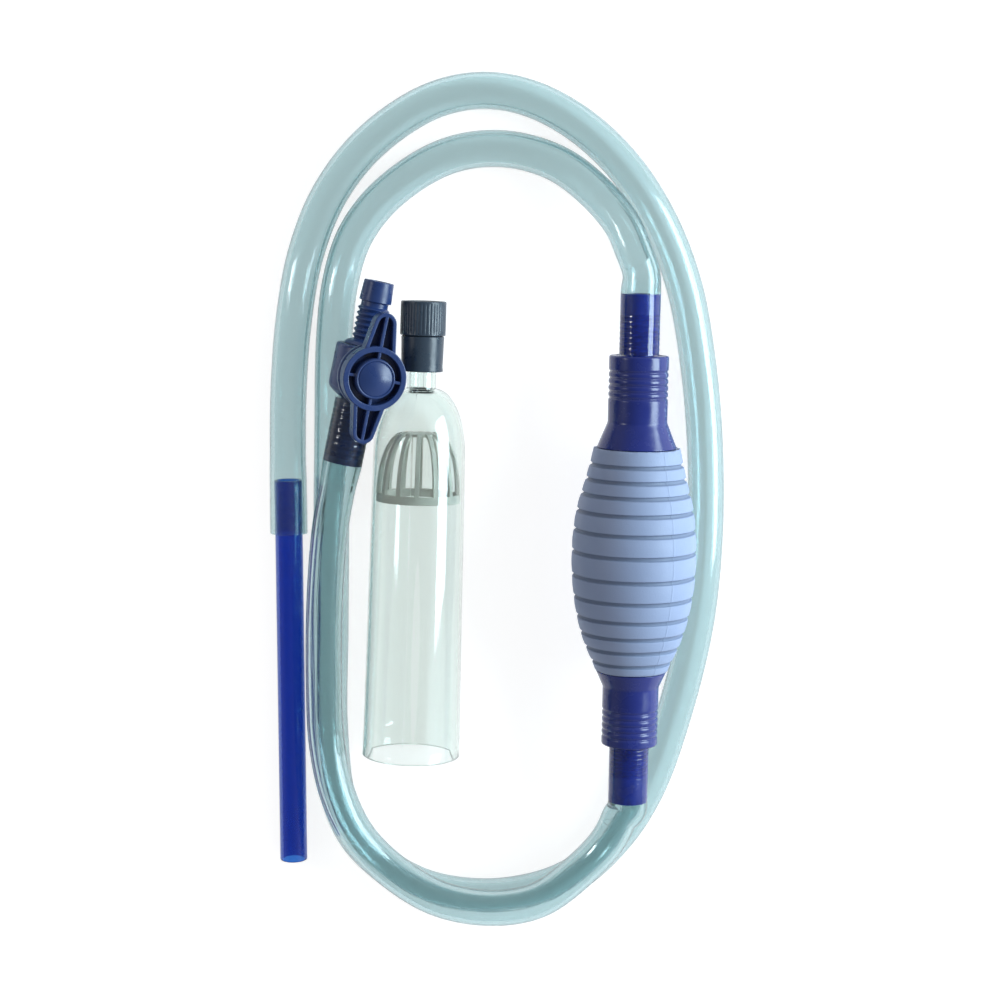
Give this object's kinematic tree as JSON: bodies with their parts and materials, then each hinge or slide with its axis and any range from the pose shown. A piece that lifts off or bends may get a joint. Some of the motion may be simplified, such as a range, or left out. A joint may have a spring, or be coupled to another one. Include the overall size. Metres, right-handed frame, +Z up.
{
  "type": "gravel vacuum siphon",
  "caption": "Aquarium gravel cleaner: ribbed squeeze bulb with check valves, clear hoses, hand valve, clear gravel tube with strainer and a rigid outlet pipe.",
  "frame": {"origin": "on the table, under the middle of the box around the bulb, valve, gravel tube and outlet pipe", "axes": "+Z up from the table the siphon lies on; +Y along the bulb and the tube, from the pipe's open end to the valve's free spigot; +X from the outlet pipe to the bulb"},
  "size_m": [0.2195, 0.4097, 0.059],
  "materials": {
    "bulb_vinyl": "soft satin vinyl",
    "royal_blue": "gloss moulded",
    "valve_blue": "satin moulded",
    "slate_blue": "satin moulded",
    "natural_plastic": "plain moulded",
    "black_rubber": "matte",
    "clear_styrene": "clear polished",
    "clear_blue": "translucent tinted",
    "hose_vinyl": "clear soft vinyl"
  },
  "bodies": {
    "siphon": {"squeeze_bulb": "bulb_vinyl", "upper_end_cap": "royal_blue", "lower_end_cap": "royal_blue", "upper_hose_barb": "royal_blue", "lower_hose_barb": "royal_blue", "upper_valve_seat": "natural_plastic", "lower_valve_seat": "natural_plastic", "upper_seal_ring": "black_rubber", "lower_seal_ring": "black_rubber", "long_hose": "hose_vinyl", "short_hose": "hose_vinyl", "long_hose_cuff": "hose_vinyl", "short_hose_cuff": "hose_vinyl", "valve_cuff": "hose_vinyl", "pipe_cuff": "hose_vinyl", "valve_body": "valve_blue", "valve_coupler": "valve_blue", "upper_ball_seat": "natural_plastic", "lower_ball_seat": "natural_plastic", "stem_seal_ring": "black_rubber"},
    "handle_set": {"valve_handle": "valve_blue", "handle_cap": "valve_blue", "valve_stem": "natural_plastic", "valve_ball": "natural_plastic"},
    "upper_flap_body": {"upper_check_flap": "black_rubber"},
    "lower_flap_body": {"lower_check_flap": "black_rubber"},
    "gravel_tube_set": {"gravel_tube": "clear_styrene", "tube_socket": "slate_blue", "collar_washer": "black_rubber"},
    "collar_body": {"knurled_collar": "slate_blue"},
    "strainer_body": {"strainer": "natural_plastic"},
    "pipe_body": {"outlet_pipe": "clear_blue"}
  },
  "joints": [
    {"name": "handle_turn", "type": "hinge", "parent": "siphon", "child": "handle_set", "pos_m": [-0.0576, 0.1, 0.0285], "axis": [-0.3023, 0.0642, -0.9511], "range_deg": [0, 90]},
    {"name": "upper_flap_swing", "type": "hinge", "parent": "siphon", "child": "upper_flap_body", "pos_m": [0.07292, 0.08259, 0.03701], "axis": [0.9998, -0.0175, 0], "range_deg": [0, 32], "stiffness_Nm_per_rad": 0.0004},
    {"name": "lower_flap_swing", "type": "hinge", "parent": "siphon", "child": "lower_flap_body", "pos_m": [0.07036, -0.06369, 0.03701], "axis": [0.9998, -0.0175, 0], "range_deg": [0, 32], "stiffness_Nm_per_rad": 0.0004},
    {"name": "tube_lift", "type": "slide", "parent": "siphon", "child": "gravel_tube_set", "axis": [0.6, 0, 0.8], "range_m": [0, 0.08]},
    {"name": "collar_turn", "type": "hinge", "parent": "gravel_tube_set", "child": "collar_body", "pos_m": [-0.02837, 0.12557, 0.02115], "axis": [0.0332, 0.9994, -0.0113], "continuous": true},
    {"name": "strainer_slide", "type": "slide", "parent": "gravel_tube_set", "child": "strainer_body", "axis": [-0.0332, -0.9994, 0.0113], "range_m": [0, 0.145]},
    {"name": "pipe_pull", "type": "slide", "parent": "siphon", "child": "pipe_body", "axis": [0, -0.9999, -0.0159], "range_m": [0, 0.03]}
  ]
}
